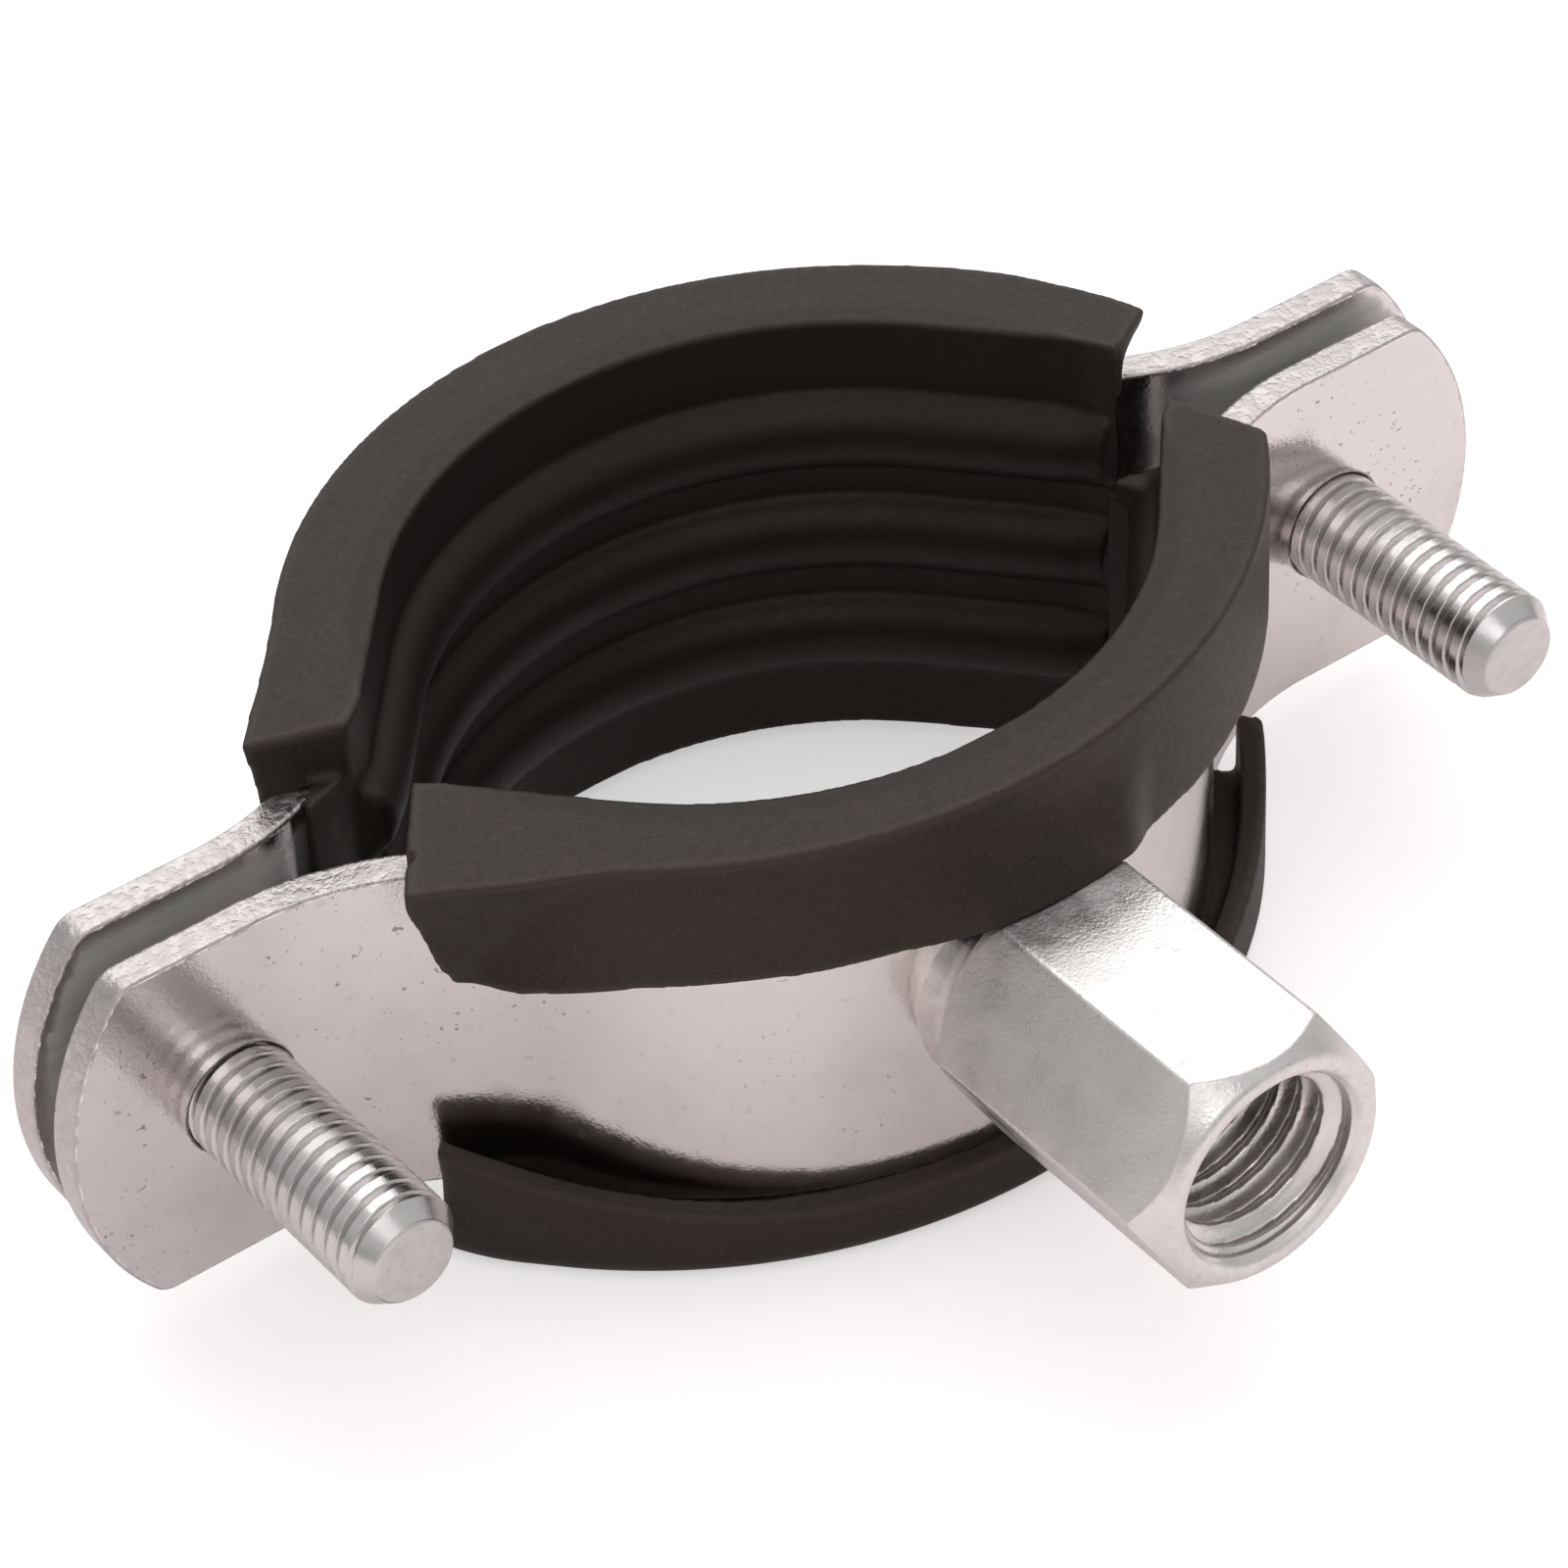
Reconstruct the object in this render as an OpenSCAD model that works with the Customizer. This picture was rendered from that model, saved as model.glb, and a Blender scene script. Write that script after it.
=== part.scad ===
// Two-screw pipe clamp: two pressed strip halves, each with a rubber lining of C section that is
// clipped round both edges of the strip, drawn together by two screws that go through the rear ears
// and are tapped into the front ears. A long hexagon nut is welded to the front half.
// Frame: Z runs along the pipe, Y = 0 is the middle of the gap between the ears and the origin is
// the middle of the opening. The welded nut points to -Y. Millimetres.

/* [Strip halves] */
// Width of the steel strip, along the pipe
strip_w = 19.4; // [18:0.1:20]
// Thickness of the steel strip
strip_t = 1.8; // [1.5:0.1:2]
// Gap left between the front and the rear ears
ear_gap = 1.5; // [1.2:0.1:2.5]
// Inner radius of each half's arc
band_r = 22.7; // [22.5:0.1:23.5]
// How far each arc's centre lies past the middle of the gap
arc_offset = 5.1; // [4.8:0.1:5.6]
// Distance from the middle to the centre of an ear's root bend
root_x = 28.8; // [28.6:0.1:29.6]
// Radius on the hollow side of an ear's root bend
root_r = 8; // [7.4:0.1:8.4]
// How far the rear half sits above the front half, within the slack of its slots
rear_lift = 1.0; // [0:0.1:1.1]

/* [Ears] */
// Distance from the middle to the tip of an ear
ear_x = 42.8; // [42:0.1:45]
// Radius of the curved end of an ear
ear_end_r = 14.4; // [12:0.1:18]
// Radius of an ear's corners
ear_corner_r = 1.5; // [0.5:0.1:2.5]
// Diameter of the tapped holes in the front ears
tapped_d = 6.0; // [6:0.05:6.2]
// Width of the upright slots in the rear ears
slot_w = 6.6; // [6.4:0.1:7]
// Length of the upright slots in the rear ears, end to end
slot_l = 9.4; // [9.2:0.1:10.4]

/* [Screws] */
// Distance from the middle to a screw's axis
screw_x = 33.6; // [33:0.1:34.5]
// How far the screws sit below the middle of the front strip
screw_drop = 0.3; // [0:0.1:0.5]
// Outside diameter of the screws
screw_d = 5.9; // [5.8:0.05:5.95]
// Length under the head
screw_l = 19.2; // [16:0.1:25]
// Length of the taper at the tip
screw_tip = 1.0; // [0.5:0.1:1.5]
// Diameter of the flat end of the tip
screw_tip_d = 4.3; // [3.5:0.1:5]
// Diameter of the head
head_d = 11.0; // [10:0.1:12]
// Height of the head
head_h = 3.6; // [3:0.1:4.5]
// Span of the cross recess
recess_w = 5.6; // [4:0.1:6.5]

/* [Welded nut] */
// Width across the flats of the hexagon
nut_af = 13.0; // [12.5:0.1:13.5]
// Distance from the origin to the nut's mouth
nut_reach = 37.1; // [30:0.1:45]
// Diameter of the flat ring at the mouth, inside the chamfer
mouth_ring_d = 12.2; // [11.6:0.1:12.6]
// Distance from the origin to the nut's foot, just clear of the lining's lip
nut_foot = 20.55; // [20.55:0.05:21]
// Diameter of the flat ring at the foot, inside the chamfer
foot_ring_d = 12.7; // [12:0.1:12.8]
// Length of either chamfer for each millimetre of its width
chamfer_slope = 1.2; // [0.6:0.1:1.5]
// Minor diameter of the nut's thread
nut_bore_d = 8.5; // [8:0.1:9]
// Diameter of the relief behind the thread
relief_d = 9.4; // [9:0.1:9.6]
// Length of the relief, from the strip outwards
relief_l = 0.4; // [0.3:0.05:0.6]
// Diameter of the countersink at the mouth
mouth_d = 10.7; // [9.5:0.1:11]
// Diameter of the welded collar between the foot and the strip
collar_d = 10.8; // [10:0.1:11.4]
// Clearance of the front lining round that collar
collar_play = 0.15; // [0.1:0.05:0.4]

/* [Rubber linings] */
// Height of a lining, along the pipe
lining_h = 26.1; // [25:0.1:28]
// Inner radius of a lining between its ribs
lining_r = 21.7; // [21.4:0.1:21.9]
// Radius of the lining's inner face round the root bend
lining_root_r = 10.3; // [10.1:0.1:10.6]
// Play between the strip's edges and the flanges that cover them
edge_play = 0.05; // [0:0.05:0.2]
// Thickness of the lips in front of the strip
lip_t = 1.3; // [1:0.1:2]
// Outer radius of the front lining's lips
front_lip_r = 30.0; // [29.6:0.1:30.6]
// How far the centre of that radius lies past the middle of the gap
front_lip_offset = 9.5; // [9.2:0.1:9.8]
// Outer radius of the rear lining's lips
rear_lip_r = 26.8; // [26.5:0.1:27.5]
// Height of the upper lip's free edge at the left end
upper_edge_left = 6.1; // [4:0.1:7]
// Height of the upper lip's free edge at the right end
upper_edge_right = 4.2; // [3:0.1:7]
// Height of the lower lip's free edge near the middle
lower_edge = -9.5; // [-9.5:0.1:-5]
// Half the length over which the lower lip's edge is lowest
lower_flat = 9; // [4:0.5:14]
// Radius with which the lower lip's edge rises to its ends
lower_rise_r = 40; // [35:1:60]
// Number of ribs along the inner face
rib_n = 3; // [1:1:3]
// Distance between ribs
rib_pitch = 6.5; // [5:0.1:6.8]
// Width of a rib at its root
rib_w = 4.6; // [3:0.1:5]
// Height of a rib over the inner face
rib_h = 1.6; // [0.8:0.1:1.8]
// Angle of the front lining's cut end, left
front_cut_left = 53; // [40:1:75]
// Angle of the front lining's cut end, right
front_cut_right = 69; // [40:1:75]
// Angle of the rear lining's cut end, left
rear_cut_left = 20; // [5:1:40]
// Angle of the rear lining's cut end, right
rear_cut_right = 26; // [5:1:40]
// Angle from the middle at which the front lining's upper left end starts to splay outwards
front_splay_start = 39; // [30:1:44]
// Width of that end across its cut
front_splay_reach = 7.6; // [5:0.1:7.8]
// Height at which that splay has died away
front_splay_foot = 5.4; // [0:0.1:8]
// Angle from the middle at which the rear lining's upper left end starts to splay outwards
rear_splay_start = 43; // [35:1:50]
// Width of that end across its cut
rear_splay_reach = 5.1; // [4:0.1:5.6]
// Height at which that splay has died away
rear_splay_foot = -8; // [-9:0.5:5]
// Bevel round the foot of the lower lips
bevel = 0.7; // [0.3:0.1:1.2]

/* [Hidden] */
$fn = 96;

zinc = [0.80, 0.78, 0.78];
zinc_dark = [0.62, 0.62, 0.60];
rubber = [0.16, 0.14, 0.13];

big = 60;
ear_back = ear_gap / 2;
ear_front = ear_back + strip_t;
root_y = ear_front + root_r;
root_d = norm([root_x, root_y + arc_offset]);
top_z = lining_h / 2;
edge_z = strip_w / 2 + edge_play;
rib_r = (rib_w * rib_w / 4 + rib_h * rib_h) / (2 * rib_h);
rib_seat = 0.4;
rib_turn = 6;
front_corner = [23.1, -2.9];
rear_corner = [23.2, -1.9];
lap = 0.02;

// Angle, from the middle of the arc, at which a line leaves the arc for the root bend
function leave(r_arc, r_root) = atan2(root_x, root_y + arc_offset) - acos((r_arc + r_root) / root_d);
// Where that line leaves the arc, on the right
function arc_end(r_arc, a) = [r_arc * sin(a), arc_offset - r_arc * cos(a)];
// Where that line meets the root bend, on the right
function root_start(r_root, a) = [root_x - r_root * sin(a), -root_y + r_root * cos(a)];
function flip(p) = [-p[0], p[1]];

// Plan of the straights and root bends, on the pipe's side of a line that runs ear, root bend,
// straight, arc and back again. It laps the arc and the ears by a hair, so that they join as one.
module roots(r_arc, r_root) {
    a = leave(r_arc, r_root);
    t = arc_end(r_arc - lap, a);
    s = root_start(r_root - lap, a);
    c = [root_x, -root_y];
    e = [root_x, 5];
    difference() {
        polygon([flip(t), flip(s), flip(c), flip(e), e, c, s, t]);
        translate(c) circle(r_root);
        translate(flip(c)) circle(r_root);
    }
}

// Everything on the pipe's side of that line, h high along the pipe
module inside(r_arc, r_root, h) {
    translate([0, arc_offset, 0]) cylinder(r = r_arc, h = h, center = true);
    linear_extrude(height = h, center = true) roots(r_arc, r_root);
    translate([-big, r_root - root_y - lap / 4, -h / 2]) cube([2 * big, big, h]);
}

// Outline of a half, seen square to the ears
module ear_outline() {
    c = ear_x - ear_end_r;
    k = c + sqrt(pow(ear_end_r - ear_corner_r, 2) - pow(strip_w / 2 - ear_corner_r, 2));
    z_t = (strip_w / 2 - ear_corner_r) * ear_end_r / (ear_end_r - ear_corner_r);
    square([2 * k, strip_w], center = true);
    for (sx = [-1, 1]) {
        for (sz = [-1, 1])
            translate([sx * k, sz * (strip_w / 2 - ear_corner_r)]) circle(ear_corner_r);
        intersection() {
            translate([sx * c, 0]) circle(ear_end_r);
            square([4 * big, 2 * z_t], center = true);
        }
    }
}

// Cylinder along Y from y0 to y1
module rod(d, y0, y1) {
    translate([0, y1, 0]) rotate([90, 0, 0]) cylinder(d = d, h = y1 - y0);
}

// A half without its holes, with its ears on the -Y side of the middle plane
module blank_half() {
    difference() {
        intersection() {
            union() inside(band_r + strip_t, root_r, 2 * strip_w);
            rotate([90, 0, 0]) linear_extrude(height = 2 * big, center = true) ear_outline();
        }
        inside(band_r, root_r + strip_t, 3 * strip_w);
    }
}

module band_front() {
    color(zinc) difference() {
        blank_half();
        for (sx = [-1, 1])
            translate([sx * screw_x, 0, -screw_drop]) rod(tapped_d, -ear_front - 2, 0);
    }
}

module band_rear() {
    r = slot_w / 2;
    half = slot_l / 2 - r;
    color(zinc) translate([0, 0, rear_lift]) difference() {
        mirror([0, 1, 0]) blank_half();
        for (sx = [-1, 1]) {
            for (sz = [-1, 1])
                translate([sx * screw_x, 0, sz * half]) rod(slot_w, 0, ear_front + 2);
            translate([sx * screw_x - r, 0, -half]) cube([slot_w, ear_front + 2, 2 * half]);
        }
    }
}

// Hexagon nut, chamfered at both ends, on the collar that welds it to the strip
module boss_nut() {
    far = nut_af;
    color(zinc) difference() {
        union() {
            intersection() {
                rotate([90, 0, 0]) cylinder(d = nut_af / cos(30), h = nut_reach + 1, $fn = 6);
                rotate([90, 0, 0]) rotate_extrude() polygon([
                    [0, nut_foot], [foot_ring_d / 2, nut_foot],
                    [far, nut_foot + (far - foot_ring_d / 2) * chamfer_slope],
                    [far, nut_reach - (far - mouth_ring_d / 2) * chamfer_slope],
                    [mouth_ring_d / 2, nut_reach], [0, nut_reach]]);
            }
            rod(collar_d, -nut_foot - 0.5, 0);
        }
        translate([0, arc_offset, -big]) cylinder(r = band_r + strip_t, h = 2 * big, $fn = 180);
        rod(nut_bore_d, -nut_reach - 1, 0);
        rod(relief_d, arc_offset - band_r - strip_t - relief_l, 0);
        rotate([90, 0, 0]) rotate_extrude() polygon([
            [0, nut_reach - (mouth_d - nut_bore_d) / 2], [nut_bore_d / 2, nut_reach - (mouth_d - nut_bore_d) / 2],
            [mouth_d / 2, nut_reach], [mouth_d / 2, nut_reach + 1], [0, nut_reach + 1]]);
    }
}

// Plan of the material that a lining's two cuts leave, for a lining on the -Y side
module between_cuts(corner, cut_left, cut_right) {
    l = [-cos(cut_left), -sin(cut_left)];
    r = [cos(cut_right), -sin(cut_right)];
    cl = flip(corner);
    polygon([cl + 30 * l, [-big, -big], [big, -big], corner + 30 * r, corner - 4 * r, cl - 4 * l]);
}

// Wedge that carries the upper left end of a lining outwards, most at the top and none at foot_z
module splayed_end(corner, cut_left, lip_r, lip_offset, start, reach, foot_z) {
    p1 = [-(lip_r - lap) * sin(start), lip_offset - (lip_r - lap) * cos(start)];
    p2 = flip(corner) - reach * [cos(cut_left), sin(cut_left)];
    out = norm(p2 - [0, lip_offset]) - lip_r;
    difference() {
        translate([0, 0, foot_z]) linear_extrude(height = top_z - foot_z)
            polygon([p1, p2 + 0.3 * (p2 - p1), [-14, -5]]);
        translate([p1[0], p1[1], top_z]) rotate([0, 0, atan2(p2[1] - p1[1], p2[0] - p1[0])])
            rotate([-atan(out / (top_z - foot_z)), 0, 0]) translate([-big, 0, -big])
                cube([2 * big, big, 2 * big]);
    }
}

// A lining as one block, before the strip and the pipe are taken out of it
module lining_block(corner, cut_left, cut_right, lip_r, lip_offset, start, reach, foot_z) {
    intersection() {
        union() {
            translate([0, lip_offset, 0]) cylinder(r = lip_r, h = lining_h, center = true, $fn = 144);
            splayed_end(corner, cut_left, lip_r, lip_offset, start, reach, foot_z);
        }
        linear_extrude(height = lining_h, center = true) between_cuts(corner, cut_left, cut_right);
    }
}

// Section of a rib, with its inner face at radius r; s is 1 where the pipe lies towards the axis
module rib_section(r, s) {
    for (i = [0 : rib_n - 1])
        translate([r, (i - (rib_n - 1) / 2) * rib_pitch]) intersection() {
            translate([s * (rib_r - rib_h), 0]) circle(rib_r, $fn = 48);
            translate([s * (rib_seat - rib_r) - rib_r, -rib_r]) square([2 * rib_r, 2 * rib_r]);
        }
}

// Straight length of the ribs, from a point of the inner face, on the right
module straight_ribs(p, direction, before, after) {
    translate([p[0], p[1], 0]) rotate([0, 0, direction - 90]) translate([0, after, 0])
        rotate([90, 0, 0]) linear_extrude(height = before + after) rib_section(0, 1);
}

// Ribs that follow the arc and the straights, and turn a little into the root bends
module ribs() {
    a = leave(lining_r, lining_root_r);
    t = arc_end(lining_r, a);
    s = root_start(lining_root_r, a);
    translate([0, arc_offset, 0]) rotate([0, 0, -90 - a])
        rotate_extrude(angle = 2 * a) rib_section(lining_r, 1);
    for (m = [0, 1]) mirror([m, 0, 0]) {
        straight_ribs(t, a, 0, norm(s - t) + 0.2);
        straight_ribs(s, a - rib_turn, 0.2, 5);
    }
}

// Window between the two lips, seen square to the ears
module window() {
    rise_z = lower_edge + lower_rise_r;
    intersection() {
        polygon([[-big, -strip_w / 2], [big, -strip_w / 2],
            [big, upper_edge_right - (upper_edge_left - upper_edge_right) * (big - 27) / 54],
            [-big, upper_edge_left + (upper_edge_left - upper_edge_right) * (big - 27) / 54]]);
        union() {
            translate([-lower_flat, lower_edge]) square([2 * lower_flat, strip_w]);
            for (sx = [-1, 1])
                translate([sx * lower_flat, rise_z]) circle(lower_rise_r, $fn = 144);
        }
    }
}

// One lining, on the -Y side: a base wall inside the strip, a flange over each of its edges and a
// lip in front, with ribs towards the pipe
module lining(corner, cut_left, cut_right, lip_r, lip_offset, start, reach, foot_z) {
    difference() {
        lining_block(corner, cut_left, cut_right, lip_r, lip_offset, start, reach, foot_z);
        // the pipe
        inside(lining_r, lining_root_r, 2 * lining_h);
        // the channel that the strip fills, and the play in front of it
        difference() {
            union() {
                inside(band_r + strip_t, root_r, 2 * edge_z);
                translate([0, lip_offset, 0]) cylinder(r = lip_r - lip_t, h = 2 * edge_z, center = true);
            }
            inside(band_r, root_r + strip_t, 3 * edge_z);
        }
        // bevel round the foot of the lower lip
        translate([0, lip_offset, 0]) rotate_extrude($fn = 144) polygon([
            [lip_r - bevel, -top_z - 1], [lip_r + 9, -top_z - 1], [lip_r + 9, -top_z + bevel],
            [lip_r, -top_z + bevel], [lip_r - bevel, -top_z]]);
        // the window between the lips
        difference() {
            rotate([90, 0, 0]) linear_extrude(height = big) window();
            inside(band_r, root_r + strip_t, 3 * edge_z);
        }
    }
    intersection() {
        ribs();
        linear_extrude(height = lining_h, center = true) between_cuts(corner, cut_left, cut_right);
    }
}

module lining_front() {
    color(rubber) difference() {
        lining(front_corner, front_cut_left, front_cut_right, front_lip_r, front_lip_offset,
            front_splay_start, front_splay_reach, front_splay_foot);
        rod(collar_d + 2 * collar_play, -nut_foot - 2, arc_offset - band_r - strip_t + 0.5);
    }
}

module lining_rear() {
    color(rubber) translate([0, 0, rear_lift]) mirror([0, 1, 0])
        lining(rear_corner, rear_cut_left, rear_cut_right, rear_lip_r, arc_offset,
            rear_splay_start, rear_splay_reach, rear_splay_foot);
}

// Screw with a cross-recessed pan head, tip towards -Y
module screw() {
    color(zinc_dark) translate([0, ear_front + 0.02, -screw_drop]) difference() {
        rotate([90, 0, 0]) rotate_extrude() polygon([
            [0, -head_h], [head_d * 0.26, -head_h * 0.97], [head_d * 0.38, -head_h * 0.84],
            [head_d * 0.46, -head_h * 0.62], [head_d / 2, -head_h * 0.3], [head_d / 2, 0],
            [screw_d / 2, 0], [screw_d / 2, screw_l - screw_tip], [screw_tip_d / 2, screw_l], [0, screw_l]]);
        for (t = [0, 90])
            translate([0, head_h + 0.1, 0]) rotate([90, t, 0])
                linear_extrude(height = head_h * 0.62) square([recess_w, 1.1], center = true);
        rod(2.6, head_h * 0.35, head_h + 0.1);
    }
}

module screw_left() {
    translate([-screw_x, 0, 0]) screw();
}

module screw_right() {
    translate([screw_x, 0, 0]) screw();
}

band_front();
band_rear();
boss_nut();
lining_front();
lining_rear();
screw_left();
screw_right();
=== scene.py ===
# Looks of the rubber lined pipe clamp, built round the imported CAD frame.
# The scene is in metres. Shapes are worked out in millimetres and scaled by MM.
import math

import bpy
import numpy as np
from mathutils import Matrix, Vector
from mathutils.geometry import delaunay_2d_cdt


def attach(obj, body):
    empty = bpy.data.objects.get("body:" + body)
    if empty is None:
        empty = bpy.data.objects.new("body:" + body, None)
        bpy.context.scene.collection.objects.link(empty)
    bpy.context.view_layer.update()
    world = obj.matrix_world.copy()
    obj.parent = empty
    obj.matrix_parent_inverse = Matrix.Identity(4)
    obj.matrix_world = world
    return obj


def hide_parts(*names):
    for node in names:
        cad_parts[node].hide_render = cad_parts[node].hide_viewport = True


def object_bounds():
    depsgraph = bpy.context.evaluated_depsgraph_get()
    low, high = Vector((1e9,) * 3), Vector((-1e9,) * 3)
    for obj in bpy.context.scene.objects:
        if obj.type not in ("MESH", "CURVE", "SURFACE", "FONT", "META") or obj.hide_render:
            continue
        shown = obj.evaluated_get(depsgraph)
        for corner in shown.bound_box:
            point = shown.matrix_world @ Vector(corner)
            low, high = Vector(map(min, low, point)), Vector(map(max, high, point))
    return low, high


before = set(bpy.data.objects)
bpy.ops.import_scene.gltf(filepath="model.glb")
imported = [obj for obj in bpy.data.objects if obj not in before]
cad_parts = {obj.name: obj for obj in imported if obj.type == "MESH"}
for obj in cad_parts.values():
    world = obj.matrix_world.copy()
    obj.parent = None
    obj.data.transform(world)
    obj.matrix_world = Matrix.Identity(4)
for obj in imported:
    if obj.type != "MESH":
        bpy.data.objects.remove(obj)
cad_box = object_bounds()
MM = 0.001
TURN = 2 * math.pi


def add_to_scene(obj):
    bpy.context.scene.collection.objects.link(obj)


# ---------------------------------------------------------------- camera
CAMERA_PLACE = (-134.45, -189.97, 196.9)
CAMERA_RIGHT = (0.7956, -0.6045, -0.0397)
CAMERA_BACK = (-0.4400, -0.6217, 0.6480)
LENS, SENSOR, CLIP_START = 142.1, 36, 0.01


def make_camera():
    right = Vector(CAMERA_RIGHT).normalized()
    back = Vector(CAMERA_BACK)
    back = (back - right * back.dot(right)).normalized()
    data = bpy.data.cameras.new("camera")
    data.lens = LENS
    data.sensor_width = SENSOR
    data.clip_start = CLIP_START
    cam = bpy.data.objects.new("camera", data)
    axes = Matrix((right, back.cross(right), back)).transposed().to_4x4()
    axes.translation = Vector(CAMERA_PLACE) * MM
    cam.matrix_world = axes
    add_to_scene(cam)
    bpy.context.scene.camera = cam


# ---------------------------------------------------------------- mesh helpers
def add_values(mesh, name, values):
    """One number for every point of a mesh, which a material can read by its name."""
    layer = mesh.attributes.new(name, "FLOAT", "POINT")
    layer.data.foreach_set("value", np.asarray(values, float))


def add_mesh(name, verts, faces, normals, edge):
    """A smooth object from points in mm and their true normals. edge is 1 on sheared edges and -1 on the
    inner sides of the ears, where the zinc paints shade. Faces are turned to agree with the normals."""
    v = np.asarray(verts, float)
    nm = np.asarray(normals, float)
    good = []
    for f in faces:
        f = list(dict.fromkeys(f))
        if len(f) < 3:
            continue
        c = np.cross(v[f[1]] - v[f[0]], v[f[2]] - v[f[0]])
        if len(f) > 3:
            c = c + np.cross(v[f[2]] - v[f[0]], v[f[3]] - v[f[0]])
        good.append(f if c.dot(nm[f].sum(axis=0)) >= 0 else f[::-1])
    mesh = bpy.data.meshes.new(name)
    mesh.from_pydata((v * MM).tolist(), [], good)
    mesh.polygons.foreach_set("use_smooth", [True] * len(mesh.polygons))
    add_values(mesh, "edge", edge)
    mesh.normals_split_custom_set_from_vertices(nm.tolist())
    mesh.update()
    obj = bpy.data.objects.new(name, mesh)
    add_to_scene(obj)
    return obj


class Patchwork:
    """Collects closed bands of points that share one mesh."""

    def __init__(self):
        self.points, self.normals, self.edges, self.faces = [], [], [], []

    def grid(self, points, normals, edge=0.0):
        """points: rows x columns x 3, where the last column joins the first. edge is one value, or one
        for each row."""
        rows, cols = points.shape[:2]
        base = sum(len(p) for p in self.points)
        self.points.append(points.reshape(-1, 3))
        self.normals.append(normals.reshape(-1, 3))
        self.edges.append(np.broadcast_to(np.reshape(edge, (-1, 1)), (rows, cols)).ravel())
        for i in range(rows - 1):
            for j in range(cols):
                k = (j + 1) % cols
                self.faces.append((base + i * cols + j, base + i * cols + k,
                                   base + (i + 1) * cols + k, base + (i + 1) * cols + j))

    def make(self, name):
        return add_mesh(name, np.concatenate(self.points), self.faces, np.concatenate(self.normals),
                        np.concatenate(self.edges))


def smooth(t):
    """0 below 0 and 1 above 1, with a soft step between."""
    t = np.clip(t, 0, 1)
    return t * t * (3 - 2 * t)


def unit(a):
    return a / np.maximum(np.linalg.norm(a, axis=-1, keepdims=True), 1e-12)


def turned(radius, ys, n, centre, sign=1):
    """Points and normals of a surface radius(phi, y) about the Y axis; sign is -1 for the wall of a bore."""
    step = 1e-3
    phi, y = np.meshgrid(np.arange(n) * TURN / n, ys)
    r = radius(phi, y)
    along = (radius(phi, y + step) - radius(phi, y - step)) / (2 * step)
    round_it = (radius(phi + step, y) - radius(phi - step, y)) / (2 * step)
    s, c = np.sin(phi), np.cos(phi)
    slope = round_it / np.maximum(r, 1e-6)
    points = np.stack([centre[0] + r * s, y, centre[1] + r * c], -1)
    return points, unit(sign * np.stack([s - slope * c, -along, c + slope * s], -1))


def lathe(profile, start, n, centre):
    """Points and normals of a profile [(r, y - start, normal_r, normal_y), ...] turned about Y."""
    phi = np.arange(n) * TURN / n
    s, c = np.sin(phi), np.cos(phi)
    r, y, normal_r, normal_y = np.asarray(profile, float).T[:, :, None]
    points = np.stack([centre[0] + r * s, np.repeat(y + start, n, 1), centre[1] + r * c], -1)
    return points, unit(np.stack([normal_r * s, np.repeat(normal_y, n, 1), normal_r * c], -1))


def thread_depth(phi, y, pitch, crest, flank):
    """0 on the crest and 1 in the root of a right-hand thread about Y. crest is half of its width."""
    u = y / pitch - phi / TURN
    t = np.clip((np.abs(u - np.round(u)) * pitch - crest) / flank, 0, 1)
    return 0.45 * t + 0.55 * smooth(t)


# ---------------------------------------------------------------- screws
SCREW_X, SCREW_Z, SCREW_TIP, HEAD_Y = 33.6, -0.3, -16.63, 2.57
SCREW_R, ROOT_R, PITCH, CREST, FLANK = 2.95, 2.45, 1.0, 0.26, 0.30
# the tip's chamfer, and where the thread starts, both from the tip
CONE_R, CONE_START, CONE_SLOPE, CONE_WOBBLE, CONE_BLEND = 2.22, 0.12, 0.68 / 0.95, 0.03, 0.06
THREAD_START, THREAD_FADE, SHANK_START, FINE_END = 0.55, 0.7, 0.14, 1.6
HEAD_R, HEAD_H, RIM_H, DOME_POWER = 5.5, 3.6, 0.9, 2.6
# the cross recess: half width, taper, reach, depth and rise of its wings, its round core, its turn
# and the steepest slope that its normals follow
WING_HALF, WING_TAPER, WING_REACH, WING_DEPTH, WING_RISE = 0.66, 0.05, 2.75, 2.0, 0.42
CORE_R, CORE_DEPTH, RECESS_TURN, STEEPEST = 1.35, 2.1, 0.4, 8
TIP_PROFILE = ((2.235, SHANK_START, 0.82, -0.57), (2.19, 0.07, 0.62, -0.78), (2.1, 0.015, 0.3, -0.95),
               (2.0, 0, 0.05, -1), (1.4, 0.01, -0.02, -1), (0.7, 0.03, -0.03, -1), (0, 0.035, 0, -1))
RIM_PROFILE = ((2.6, 0, 0, -1), (HEAD_R - 0.25, 0, 0, -1), (HEAD_R - 0.07, 0.07, 0.7, -0.7),
               (HEAD_R, 0.25, 1, 0), (HEAD_R, RIM_H, 1, 0.05))


def head_top(x, z):
    """Y of the head's domed top, with its cross recess, at x and z from its middle."""
    rho = np.hypot(x, z)
    near, far = np.minimum(abs(x), abs(z)), np.maximum(abs(x), abs(z))
    wing = smooth((WING_HALF - near - WING_TAPER * far) / 0.14) * smooth((WING_REACH - far) / 0.2)
    core = smooth((CORE_R - rho) / 0.2)
    recess = np.maximum(wing * (WING_DEPTH - WING_RISE * far), core * CORE_DEPTH)
    dome = np.sqrt(np.clip(1 - (rho / HEAD_R) ** DOME_POWER, 0, 1))
    return HEAD_Y + RIM_H + (HEAD_H - RIM_H) * dome - recess


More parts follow.
